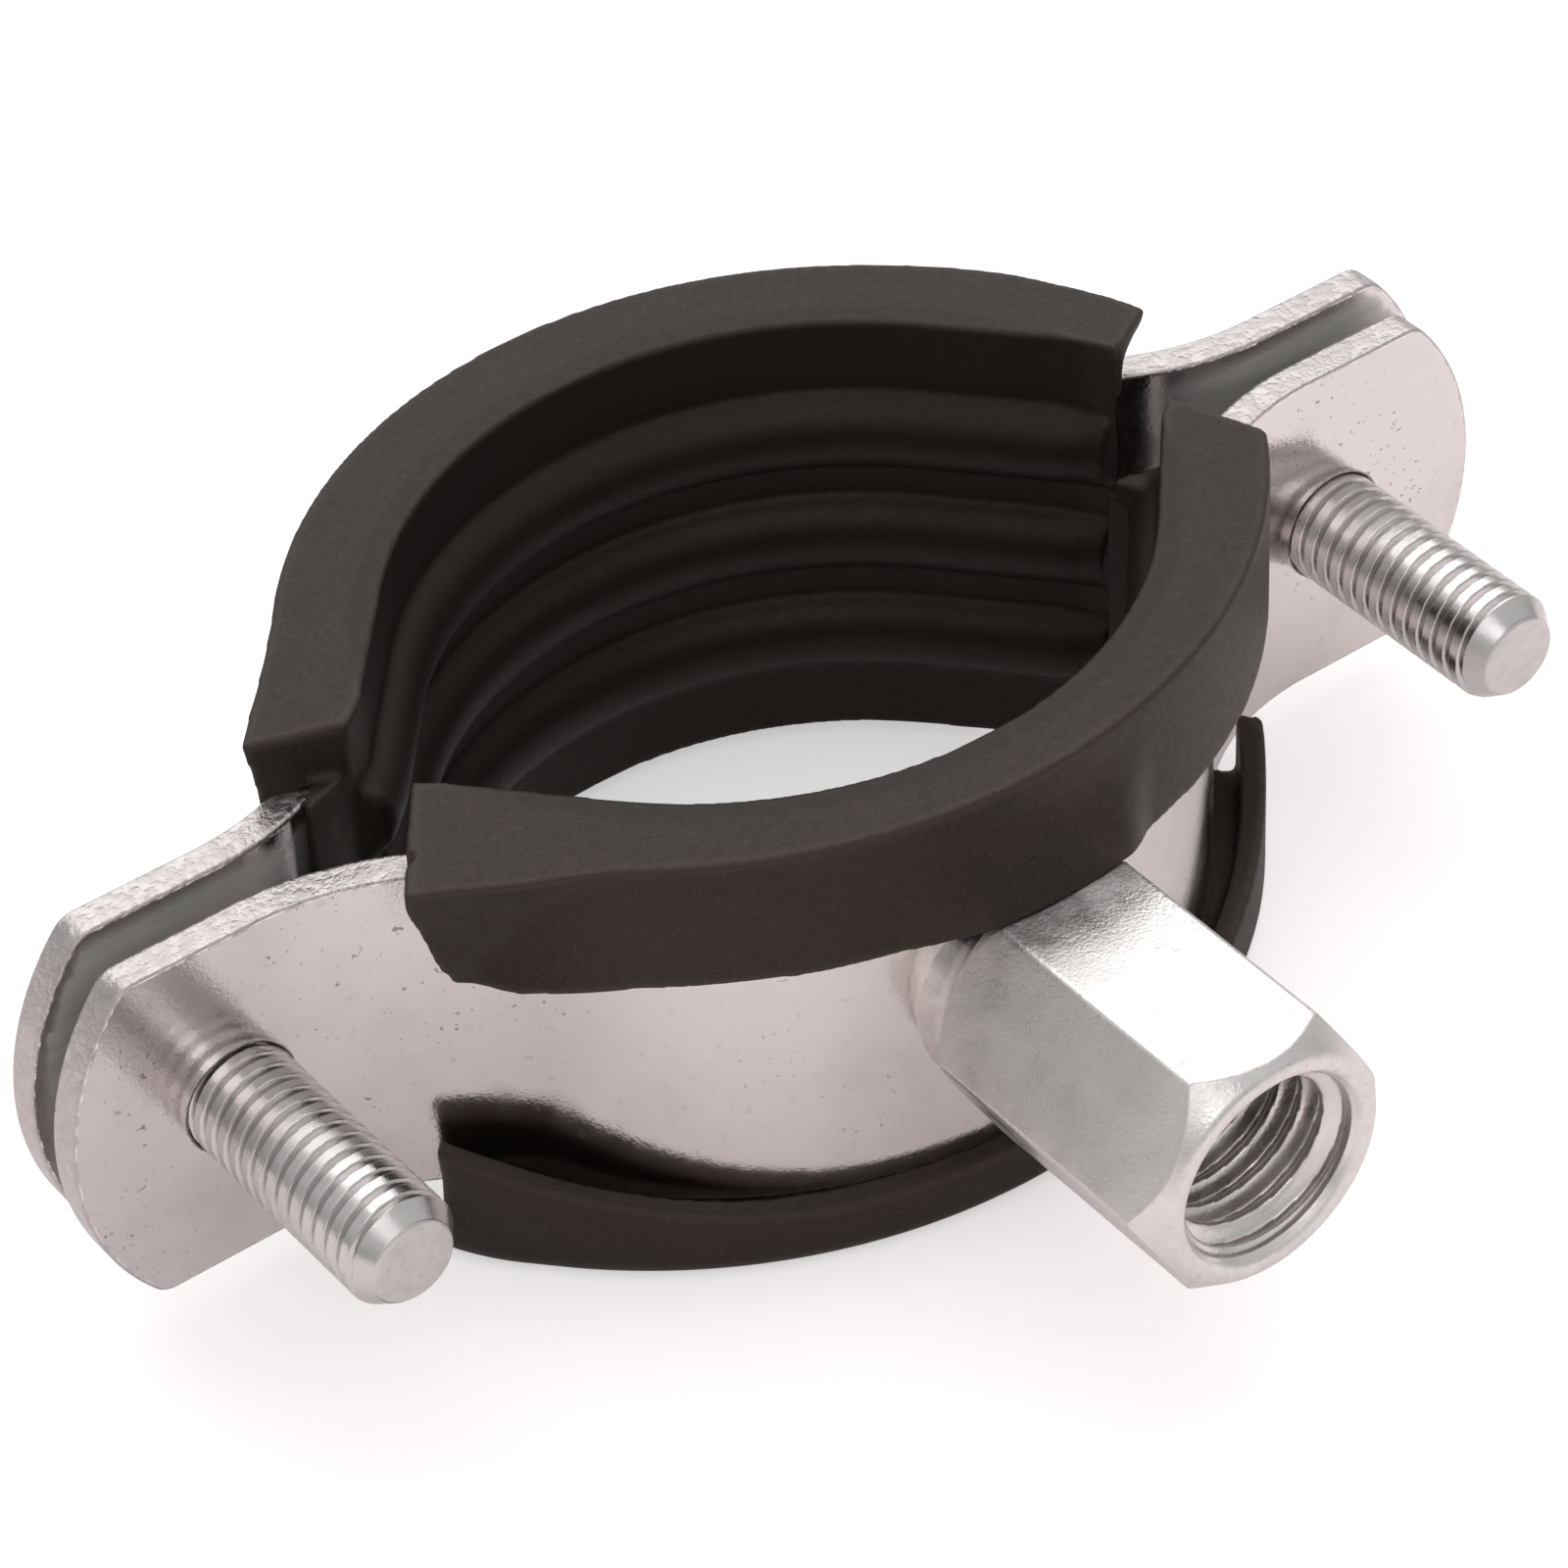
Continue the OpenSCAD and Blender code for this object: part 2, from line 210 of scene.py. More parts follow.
def make_screw(name, side, turn):
    """M6 screw: rolled thread with a chamfered tip, and a pan head with a cross recess."""
    centre = (side * SCREW_X, SCREW_Z)
    work = Patchwork()

    def shank(phi, y):
        along = y - SCREW_TIP
        depth = (SCREW_R - ROOT_R) * thread_depth(phi + turn, y, PITCH, CREST, FLANK)
        thread = SCREW_R - depth * smooth((along - THREAD_START) / THREAD_FADE)
        cone = CONE_R + (along - CONE_START) * CONE_SLOPE + CONE_WOBBLE * np.sin(phi * 2 + turn)
        k = np.clip(0.5 + 0.5 * (cone - thread) / CONE_BLEND, 0, 1)
        return cone + (thread - cone) * k - CONE_BLEND * k * (1 - k) * 0.5

    ys = np.concatenate([np.linspace(SCREW_TIP + SHANK_START, SCREW_TIP + FINE_END, 34)[:-1],
                         np.arange(SCREW_TIP + FINE_END, HEAD_Y + 0.04, 0.05)])
    work.grid(*turned(shank, ys, 96, centre))
    work.grid(*lathe(TIP_PROFILE, SCREW_TIP, 96, centre), edge=0.5)
    work.grid(*lathe(RIM_PROFILE, HEAD_Y, 96, centre))
    # top of the head: rings about its middle, finer over the recess and near the rim
    rho = HEAD_R * np.concatenate([np.linspace(0, 0.62, 64), np.sin(np.linspace(0.67, math.pi / 2, 22))])
    q = RECESS_TURN + turn
    c, s = math.cos(q), math.sin(q)
    phi = np.arange(192) * TURN / 192 + q
    x, z = np.outer(rho, np.sin(phi)), np.outer(rho, np.cos(phi))
    u, w = x * c - z * s, x * s + z * c
    step = 2e-3
    nu = np.clip((head_top(u - step, w) - head_top(u + step, w)) / (2 * step), -STEEPEST, STEEPEST)
    nw = np.clip((head_top(u, w - step) - head_top(u, w + step)) / (2 * step), -STEEPEST, STEEPEST)
    normals = unit(np.stack([nu * c + nw * s, np.ones_like(nu), nw * c - nu * s], -1))
    work.grid(np.stack([centre[0] + x, head_top(u, w), centre[1] + z], -1), normals)
    return work.make(name)


# ---------------------------------------------------------------- welded hexagon nut
NUT_AF, NUT_MOUTH, NUT_FOOT, CORNER_R = 13.0, 37.1, 20.55, 0.45
# end chamfers: slope, radius where they start, and the bevel between them and the sides
SLOPE, MOUTH_R, FOOT_R, MOUTH_SINK, BEVEL = 1.2, 6.2, 6.35, 0.13, 0.11
BORE_R, BORE_DEPTH, BORE_PITCH, BORE_CREST, BORE_FLANK, BORE_TURN = 5.0, 0.75, 1.5, 0.12, 0.52, 1.1
BORE_END, BORE_START, BORE_FADE, BORE_BLEND = -19.0, 0.7, 0.7, 0.08
SINK_R, SINK_START, SINK_SLOPE = 5.16, 0.3, 0.93
COLLAR_R, COLLAR_END, COLLAR_H, COLLAR_WAIST = 6.33, -18.2, 2.1, 0.1
# the collar is flatter at the top, under the lining's lip
COLLAR_FLAT, FLAT_START, FLAT_FADE = 0.7, 0.72, 0.15
MOUTH_PROFILE = ((6.3, 0.25, SLOPE * 0.64, -0.64), (6.12, 0.09, 0.5, -0.86), (5.92, 0.015, 0.2, -0.98),
                 (5.7, 0, 0, -1), (5.45, 0.03, -0.25, -0.97), (5.28, 0.13, -0.6, -0.8),
                 (SINK_R, SINK_START, -0.8, -0.6))


def hexagon():
    """Plan of the nut with its rounded corners: directions from the middle, normals and radii."""
    points, normals = [], []
    flat = NUT_AF / 2
    half = (flat - CORNER_R) * math.tan(math.pi / 6)
    for i in range(6):
        a = i * math.pi / 3
        u, t = np.array([math.sin(a), math.cos(a)]), np.array([math.cos(a), -math.sin(a)])
        for w in np.linspace(-half, half, 25):
            points.append(u * flat + t * w)
            normals.append(u)
        for b in np.linspace(0, math.pi / 3, 8)[1:-1]:
            v = np.array([math.sin(a + b), math.cos(a + b)])
            points.append(u * (flat - CORNER_R) + t * half + v * CORNER_R)
            normals.append(v)
    points = np.array(points)
    radii = np.linalg.norm(points, axis=1)
    return points / radii[:, None], np.array(normals), radii


def make_boss():
    """Long hexagon nut, chamfered at both ends, with an M10 thread, on its welded collar."""
    work = Patchwork()
    ray, side, rad = hexagon()
    mouth = NUT_MOUTH - MOUTH_SINK - (rad - MOUTH_R) * SLOPE
    foot = NUT_FOOT + (rad - FOOT_R) * SLOPE

    def row(r, depth, radial, axial, hexed):
        """Ring of radius r at depth; hexed is 1 where the normals are those of the hexagon's sides."""
        r, depth = np.broadcast_to(r, rad.shape), np.broadcast_to(depth, rad.shape)
        d = (1 - hexed) * ray + hexed * side
        points = np.stack([ray[:, 0] * r, -depth, ray[:, 1] * r], -1)
        return points, unit(np.stack([d[:, 0] * radial, np.full(len(rad), -axial), d[:, 1] * radial], -1))

    rows = [row(FOOT_R, NUT_FOOT, 0.2, -1, 0), row(FOOT_R + 0.08, NUT_FOOT + 0.09, SLOPE, -1, 0),
            row(rad - BEVEL * 0.6, foot - BEVEL * 0.7, SLOPE, -1, 0), row(rad - 0.02, foot, 1, -0.35, 0.6),
            row(rad, foot + BEVEL, 1, 0, 1)]
    rows += [row(rad, foot + (mouth - foot) * k, 1, 0, 1) for k in (0.2, 0.4, 0.6, 0.8)]
    rows += [row(rad, mouth - BEVEL, 1, 0, 1), row(rad - 0.02, mouth, 1, 0.35, 0.6),
             row(rad - BEVEL * 0.6, mouth + BEVEL * 0.7, SLOPE, 1, 0),
             row(MOUTH_R + 0.1, NUT_MOUTH - 0.25, SLOPE, 1, 0)]
    wear = [0, 0, 0, 1, 0.4, 0, 0, 0, 0, 0.4, 1, 0.2, 0]
    work.grid(np.stack([p for p, _ in rows]), np.stack([n for _, n in rows]), edge=wear)
    work.grid(*lathe(MOUTH_PROFILE, -NUT_MOUTH, 180, (0, 0)), edge=0.3)

    def bore(phi, y):
        deep = y + NUT_MOUTH
        ridge = 1 - thread_depth(phi + BORE_TURN, y, BORE_PITCH, BORE_CREST, BORE_FLANK)
        thread = BORE_R - BORE_DEPTH * ridge * smooth((deep - BORE_START) / BORE_FADE)
        sink = SINK_R - (deep - SINK_START) * SINK_SLOPE
        return thread + (sink - thread) * np.clip(0.5 + 0.5 * (sink - thread) / BORE_BLEND, 0, 1)

    work.grid(*turned(bore, np.arange(SINK_START - NUT_MOUTH, BORE_END, 0.07), 120, (0, 0), -1))

    def collar(phi, y):
        t = np.clip((y + NUT_FOOT) / COLLAR_H, 0, 1)
        lump = 0.05 * np.sin(5 * phi + 1) + 0.04 * np.sin(11 * phi + 2.3 + 3 * t) + 0.03 * np.sin(23 * phi)
        flat = COLLAR_FLAT * smooth((np.cos(phi) - FLAT_START) / FLAT_FADE)
        return COLLAR_R - flat - COLLAR_WAIST * smooth(3 * t) + lump * t

    work.grid(*turned(collar, np.linspace(-NUT_FOOT - 0.02, COLLAR_END, 20), 180, (0, 0)), edge=0.2)
    return work.make("hanger_boss")


# ---------------------------------------------------------------- strip halves
STRIP_T, HALF_W, BAND_R, OFFSET = 1.8, 9.7, 22.7, 5.1
# centre of the root bend, on the outer side
ROOT_X, ROOT_Y = 31.86, 16.55
EAR_X, EAR_END, EAR_CORNER, EAR_FACE = 42.8, 14.4, 1.5, 2.55
REAR_LIFT, TAPPED_R, SLOT_R, SLOT_REACH = 1.0, 2.98, 3.3, 1.4
# columns of points along the strip, and rows across it
COLUMN, COLUMNS_END, ROW_END, ROWS = 0.45, 9.4, 8.4, 15
# the inner side of an ear, where the zinc paints shade, starts at this x, and is all of it so much further
# out
INNER_START, INNER_FADE = 23, 8
# section of a sheared edge: inset, height in the sheet, and the outward and upward parts of the normal
RIM = 0.26
EDGE = ((RIM, 0.9, 0, 1), (0.10, 0.865, 0.42, 0.91), (0.02, 0.78, 0.86, 0.51), (0, 0.62, 1, 0), (0, 0, 1, 0),
        (0, -0.74, 1, 0), (0.03, -0.84, 0.8, -0.6), (0.11, -0.888, 0.4, -0.92), (RIM, -0.9, 0, -1))


class Path:
    """Plan line on the -Y side: arc, straight, root bend and ear, with its distance from the crown."""

    def __init__(self, arc_r, root_r):
        reach = math.hypot(ROOT_X, ROOT_Y + OFFSET)
        self.arc_r, self.root_r = arc_r, root_r
        self.angle = math.atan2(ROOT_X, ROOT_Y + OFFSET) - math.acos((arc_r + root_r) / reach)
        self.arc_end = arc_r * self.angle
        self.root_start = self.arc_end + math.sqrt(reach * reach - (arc_r + root_r) ** 2)
        self.ear_start = self.root_start + root_r * self.angle
        # what is added to an x on the ear to get its distance
        self.shift = self.ear_start - ROOT_X

    def at(self, s):
        """Point, and angle of the tangent, at distance s."""
        m = 1 if s >= 0 else -1
        s = abs(s)
        if s <= self.root_start:
            t = min(s / self.arc_r, self.angle)
            k = max(s - self.arc_end, 0)
            x = self.arc_r * math.sin(t) + k * math.cos(t)
            y = OFFSET - self.arc_r * math.cos(t) + k * math.sin(t)
        else:
            t = max(self.angle - (s - self.root_start) / self.root_r, 0.0)
            k = max(s - self.ear_start, 0)
            x = ROOT_X - self.root_r * math.sin(t) + k
            y = -ROOT_Y + self.root_r * math.cos(t)
        return (m * x, y), m * t


def arc_points(cx, cz, r, a0, a1, n):
    return [(cx + r * math.cos(a), cz + r * math.sin(a), math.cos(a), math.sin(a))
            for a in np.linspace(a0, a1, n)]


def ear_side(path, columns):
    """Outline of the right half in (distance, height) with its outward normal, from the middle of
    the top edge round the ear to the middle of the bottom edge."""
    inner = EAR_END - EAR_CORNER
    c = EAR_X - EAR_END + path.shift
    k = c + math.sqrt(inner ** 2 - (HALF_W - EAR_CORNER) ** 2)
    b = math.asin((HALF_W - EAR_CORNER) / inner)
    top = [(s, HALF_W, 0.0, 1.0) for s in columns if 0 <= s < k - 0.2]
    corner = arc_points(k, HALF_W - EAR_CORNER, EAR_CORNER, math.pi / 2, b, 8)
    end = arc_points(c, 0, EAR_END, b, -b, 46)[1:-1]
    below = [(s, -z, u, -w) for s, z, u, w in (top + corner)[::-1]]
    return top + corner + end + below


def hole_outline(cx, cz, r, reach):
    """Outline of a hole or slot, with its normal pointing into it."""
    if reach:
        points = arc_points(cx, cz + reach, r, 0, math.pi, 33)
        points += arc_points(cx, cz - reach, r, math.pi, TURN, 33)
    else:
        points = arc_points(cx, cz, r, 0, TURN, 65)[:-1]
    return [(s, z, -u, -w) for s, z, u, w in points]


def strip_half(name, side, lift, hole):
    """One pressed half: sheared and rounded edges, bent along its path. side is -1 for the front, and
    hole is the x, z, radius and reach of the hole in each ear."""
    path = Path(BAND_R + STRIP_T / 2, ROOT_Y - EAR_FACE + STRIP_T / 2)
    n = int((EAR_X + path.shift) / COLUMN)
    columns = [i * (path.ear_start + COLUMNS_END) / n for i in range(n + 1)]
    right = ear_side(path, columns)
    hole_x, hole_z, hole_r, hole_reach = hole
    hole_x += path.shift
    loops = [right + [(-s, z, -u, w) for s, z, u, w in right[::-1] if s > 0]]
    loops += [hole_outline(m * hole_x, hole_z, hole_r, hole_reach) for m in (1, -1)]
    verts, norms, edge, faces = [], [], [], []

    def put(s, z, off, n_s, n_z, n_w):
        """Adds the point at (s, z) and off the middle sheet, with its normal along, up and off it."""
        (px, py), t = path.at(s)
        c, d = math.cos(t), math.sin(t)
        verts.append((px - d * off, -side * (py + c * off), z + lift))
        norms.append((n_s * c - n_w * d, -side * (n_s * d + n_w * c), n_z))

    # the sheared edges, as one band round each loop
    rims = []
    for loop in loops:
        first, m = len(verts), len(loop)
        for inset, off, out, up in EDGE:
            for s, z, u, w in loop:
                put(s - u * inset, z - w * inset, off, u * out, w * out, up)
                edge.append(1.0 if out > 0.3 else 0.0)
        faces += [(first + i * m + j, first + i * m + (j + 1) % m, first + (i + 1) * m + (j + 1) % m,
                   first + (i + 1) * m + j) for i in range(len(EDGE) - 1) for j in range(m)]
        rims.append((first, first + (len(EDGE) - 1) * m))

    # the two flat sides, filled between the loops
    flat, links, owner = [], [], []
    for (first, last), loop in zip(rims, loops):
        base, m = len(flat), len(loop)
        flat += [Vector((s - u * RIM, z - w * RIM)) for s, z, u, w in loop]
        links += [(base + i, base + (i + 1) % m) for i in range(m)]
        owner += [(first + i, last + i) for i in range(m)]
    ear_c = EAR_X - EAR_END + path.shift

    def is_clear(s, z, gap):
        if abs(z) > HALF_W - RIM - gap or math.hypot(max(abs(s) - ear_c, 0), z) > EAR_END - RIM - gap:
            return False
        return math.hypot(abs(s) - hole_x, max(abs(z - hole_z) - hole_reach, 0)) >= hole_r + RIM + gap

    for s in [-c for c in columns[:0:-1]] + columns:
        flat += [Vector((s, z)) for z in np.linspace(-ROW_END, ROW_END, ROWS) if is_clear(s, z, 0.35)]
    co, _, tris, origin, _, _ = delaunay_2d_cdt(flat, links, [], 0, 1e-7)
    keep = [t for t in tris if is_clear(sum(co[i].x for i in t) / 3, sum(co[i].y for i in t) / 3, -0.004)]
    for which, off, up in ((0, STRIP_T / 2, 1), (1, -STRIP_T / 2, -1)):
        index = {}
        for i, p in enumerate(co):
            if origin[i] and origin[i][0] < len(owner):
                index[i] = owner[origin[i][0]][which]
            else:
                index[i] = len(verts)
                put(p.x, p.y, off, 0, 0, up)
                # the ears' inner sides are marked below 0, where the zinc material paints shade
                edge.append(-max(up, 0) * min(max((abs(verts[-1][0]) - INNER_START) / INNER_FADE, 0), 1))
        faces += [tuple(index[i] for i in t) for t in keep]
    return add_mesh(name, verts, faces, unit(np.array(norms)), edge)


# ---------------------------------------------------------------- rubber linings
VOXEL = 0.2
# rounds of smoothing, and the share of a point that stays in place
SOFTEN, FLATTEN = (6, 0.45), (14, 0.4)
# how far a crest stands out to get the full paler colour, which is wear and painted sheen
CREST_WEAR_AND_SHEEN = 0.08
# the inside of the ring, where the rubber is painted darker as shade, starts within this radius
INSIDE_R, INSIDE_FADE = 23.2, 0.3
# loose ends of the inner walls: plan, lowest and highest z
REAR_ENDS = [([(-21.6, 3.2), (-22.6, 3.75), (-24.0, 2.9), (-25.2, 2.3), (-26.1, 1.9), (-26.2, 1.0),
               (-24.9, 1.35), (-23.3, 2.0)], -11.6, 11.2)]
FRONT_ENDS = [([(19.9, -0.8), (20.7, -0.75), (21.6, -1.0), (22.9, -1.9), (22.9, -3.4), (21.6, -4.2),
                (20.6, -4.4), (20.75, -2.6)], -12.4, 7.4),
              ([(20.2, -0.95), (20.7, -0.8), (21.5, -1.0), (22.7, -1.9), (22.0, -3.0), (20.95, -2.4)],
               7.0, 8.3)]
# centre of the front lip's arc on Y, and the radius where the lip starts
LIP_Y, LIP_R = 9.5, 28.0
# the rear wall near its right end: its direction, where its bend starts, and that bend's diameter
WALL_COS, WALL_SIN, BEND_X, BEND_D = 0.656, 0.755, 20.5, 20.6


def remeshed(name, node, ends):
    """A copy of a solid, with its loose ends, as an even skin of small quads; points in mm, and edges."""
    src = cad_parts[node].data
    v = np.empty(len(src.vertices) * 3)
    src.vertices.foreach_get("co", v)
    v = (v.reshape(-1, 3) / MM).tolist()
    f = [tuple(p.vertices) for p in src.polygons]
    for plan, low, high in ends:
        b, n = len(v), len(plan)
        v += [(x, y, low) for x, y in plan] + [(x, y, high) for x, y in plan]
        f += [tuple(range(b + n - 1, b - 1, -1)), tuple(range(b + n, b + 2 * n))]
        f += [(b + i, b + (i + 1) % n, b + n + (i + 1) % n, b + n + i) for i in range(n)]
    mesh = bpy.data.meshes.new(name)
    mesh.from_pydata((np.array(v) * MM).tolist(), [], f)
    obj = bpy.data.objects.new(name, mesh)
    add_to_scene(obj)
    mod = obj.modifiers.new("skin", "REMESH")
    mod.mode = "VOXEL"
    mod.voxel_size = VOXEL * MM
    deps = bpy.context.evaluated_depsgraph_get()
    mesh = bpy.data.meshes.new_from_object(obj.evaluated_get(deps))
    bpy.data.objects.remove(obj)
    v = np.empty(len(mesh.vertices) * 3)
    mesh.vertices.foreach_get("co", v)
    e = np.empty(len(mesh.edges) * 2, int)
    mesh.edges.foreach_get("vertices", e)
    return mesh, v.reshape(-1, 3) / MM, e.reshape(-1, 2)


def relaxed(v, e, rounds, keep):
    """Points after rounds of averaging with their neighbours; keep is the share left in place."""
    a, b = e.T
    count = np.bincount(e.ravel(), minlength=len(v))[:, None]
    for _ in range(rounds):
        total = np.stack([np.bincount(a, q[b], len(v)) + np.bincount(b, q[a], len(v)) for q in v.T], -1)
        v = v * keep + (1 - keep) * total / count
    return v


def waves(v, scale, seed):
    """Gentle sum of sines, from -1 to 1, for hand-cut edges."""
    a = v @ (np.array([[1.0, 0.7, 0.4], [-0.6, 1.1, 0.9], [0.3, -0.8, 1.3]]).T / scale) + seed
    return (np.sin(a[:, 0]) + np.sin(a[:, 1] * 1.3 + 1) + np.sin(a[:, 2] * 1.7 + 2)) / 3


def shape_front(v):
    """The lip rides over the nut, its lower lip rises at the right, and the left end is cut by hand."""
    x, y, z = v.T
    out = smooth((np.hypot(x, y - LIP_Y) - LIP_R) / 0.6)
    # over the nut: the upper lip's lower edge is lifted, and the lip leans outwards
    ride = smooth((7.6 - abs(x)) / 3.6) * (y < 0) * (z > 2.5)
    lift = ride * smooth((9.5 - z) / 4)
    v[:, 2] += out * lift * np.clip(6.75 - z, 0, 2) * (1 - 0.25 * smooth((z - 5) / 2))
    v[:, 1] -= (0.35 + 0.65 * out) * ride * 1.75 * smooth((11.5 - z) / 5.5)
    # the lower lip, towards the right end
    v[:, 2] += smooth((x - 18) / 10) * (z < 0) * out * 1.4 * smooth((z + 11) / 4)
    # the left end: its lower corner is drawn down and inwards, and the cut is uneven
    cut = out * (z > -6) * smooth((12.2 - z) / 8.5)
    v[:, 2] -= cut * 1.15 * np.clip((-17.5 - x) / 6, 0, 1) ** 2
    cut *= smooth((-17.0 - x) / 5)
    v += cut[:, None] * np.array((1.05, -1.3, 0))
    end = smooth((-x - 20.5) / 3) * (y < -3)
    v[:, 0] += end * 0.14 * waves(v, 1.6, 0.7)
    v[:, 1] += end * 0.08 * waves(v, 1.4, 2.9)
    return v


def shape_rear(v):
    """The right end runs on straight, and its lip is undercut so that the face leans outwards."""
    x, y, z = v.T.copy()
    end = smooth((x - 16.5) / 6)
    wall = smooth((24.2 - WALL_SIN * x - WALL_COS * (y + OFFSET)) / 0.8)
    bend = (x > 0) * (np.clip(x - BEND_X, 0, 4) / WALL_COS) ** 2 / BEND_D
    v[:, 0] -= wall * (0.13 * end + WALL_SIN * bend)
    v[:, 1] += wall * (0.15 * end - WALL_COS * bend)
    v[:, 0] += (1 - wall) * end * (0.25 - 2.3 * smooth((14.0 - z) / 3.2))
    v[:, 2] += (1 - wall) * end * (z < -6) * smooth((z + 13) / 4)
    # both cut ends are uneven
    v[:, 0] += smooth((abs(x) - 20) / 3) * 0.10 * waves(v, 1.5, 4.1)
    return v


def make_lining(name, node, shape, ends):
    """Moulded rubber with soft edges, from the solid of the same lining."""
    mesh, v, e = remeshed(name, node, ends)
    v = shape(relaxed(v, e, *SOFTEN))
    far = relaxed(v, e, *FLATTEN)
    mesh.vertices.foreach_set("co", (v * MM).ravel())
    mesh.update()
    n = np.empty(len(v) * 3)
    mesh.vertices.foreach_get("normal", n)
    # how far each point stands out from a smoother skin: crests are painted paler, as wear and as painted
    # sheen
    crest = ((v - far) * n.reshape(-1, 3)).sum(axis=1)
    add_values(mesh, "edge", np.clip(crest / CREST_WEAR_AND_SHEEN, -1, 1))
    # the inside of the ring, where the rubber material paints shade
    r = np.hypot(v[:, 0], abs(v[:, 1]) + OFFSET)
    add_values(mesh, "inside", smooth((INSIDE_R - r) / INSIDE_FADE))
    mesh.polygons.foreach_set("use_smooth", [True] * len(mesh.polygons))
    mesh.name = name
    obj = bpy.data.objects.new(name, mesh)
    add_to_scene(obj)
    return obj


# ---------------------------------------------------------------- materials
# on the zinc: specks, dust, torn edges and their corners, and painted shade on the inner sides of the ears
BROWN, DUST = (0.23, 0.15, 0.10), (0.42, 0.36, 0.33)
TORN, TORN_CORNER = (0.50, 0.455, 0.445), (0.95, 0.93, 0.92)
SHADED = (0.54, 0.56, 0.52)
RUBBER, RUBBER_PALER = (0.0125, 0.0084, 0.0066), (0.0165, 0.0113, 0.0090)
# paler rubber for the crests: wear, and painted sheen on the convex edges
RUBBER_SPECK, RUBBER_WEAR_AND_SHEEN = (0.052, 0.038, 0.031), (0.050, 0.041, 0.036)
# painted shade for the side that holds the pipe
RUBBER_INSIDE_SHADE = (0.0045, 0.0033, 0.0028)
RUBBER_SHEEN = (1.0, 0.82, 0.74, 1)


def node_setup(name):
    mat = bpy.data.materials.new(name)
    mat.use_nodes = True
    return mat, mat.node_tree, mat.node_tree.nodes["Principled BSDF"]


class Maker:
    """Short calls for the nodes that the materials share. Texture scales are in 1/m."""

    def __init__(self, tree):
        self.t = tree
        self.coord = tree.nodes.new("ShaderNodeTexCoord").outputs["Object"]

    def put(self, socket, value):
        if isinstance(value, bpy.types.NodeSocket):
            self.t.links.new(value, socket)
        else:
            socket.default_value = value

    def stretched(self, scale, turn):
        m = self.t.nodes.new("ShaderNodeMapping")
        m.inputs["Scale"].default_value = scale
        m.inputs["Rotation"].default_value = turn
        self.t.links.new(self.coord, m.inputs["Vector"])
        return m.outputs[0]

    def noise(self, scale, detail, rough=0.5, vector=None):
        n = self.t.nodes.new("ShaderNodeTexNoise")
        for key, x in (("Scale", scale), ("Detail", detail), ("Roughness", rough),
                       ("Vector", vector or self.coord)):
            self.put(n.inputs[key], x)
        return n.outputs["Fac"]

    def span(self, value, a, b, lo=0.0, hi=1.0, kind="SMOOTHSTEP"):
        """value, taken from the range a to b to the range lo to hi."""
        n = self.t.nodes.new("ShaderNodeMapRange")
        n.interpolation_type = kind
        for key, x in (("Value", value), ("From Min", a), ("From Max", b), ("To Min", lo), ("To Max", hi)):
            self.put(n.inputs[key], x)
        return n.outputs["Result"]

    def math(self, kind, a, b):
        n = self.t.nodes.new("ShaderNodeMath")
        n.operation = kind
        self.put(n.inputs[0], a)
        self.put(n.inputs[1], b)
        return n.outputs[0]

    def times(self, a, b):
        return self.math("MULTIPLY", a, b)

    def mix(self, fac, a, b):
        """Colour a with b over it. The first colour may be a plain one, and the second always is."""
        n = self.t.nodes.new("ShaderNodeMix")
        n.data_type = "RGBA"
        self.put(n.inputs[0], fac)
        self.put(n.inputs[6], (*a, 1) if isinstance(a, tuple) else a)
        self.put(n.inputs[7], (*b, 1))
        return n.outputs[2]

    def attribute(self, name):
        n = self.t.nodes.new("ShaderNodeAttribute")
        n.attribute_name = name
        return n.outputs["Fac"]

    def bump(self, height, distance, under=None):
        n = self.t.nodes.new("ShaderNodeBump")
        n.inputs["Distance"].default_value = distance
        n.inputs["Strength"].default_value = 1.0
        self.t.links.new(height, n.inputs["Height"])
        if under:
            self.t.links.new(under, n.inputs["Normal"])
        return n.outputs[0]


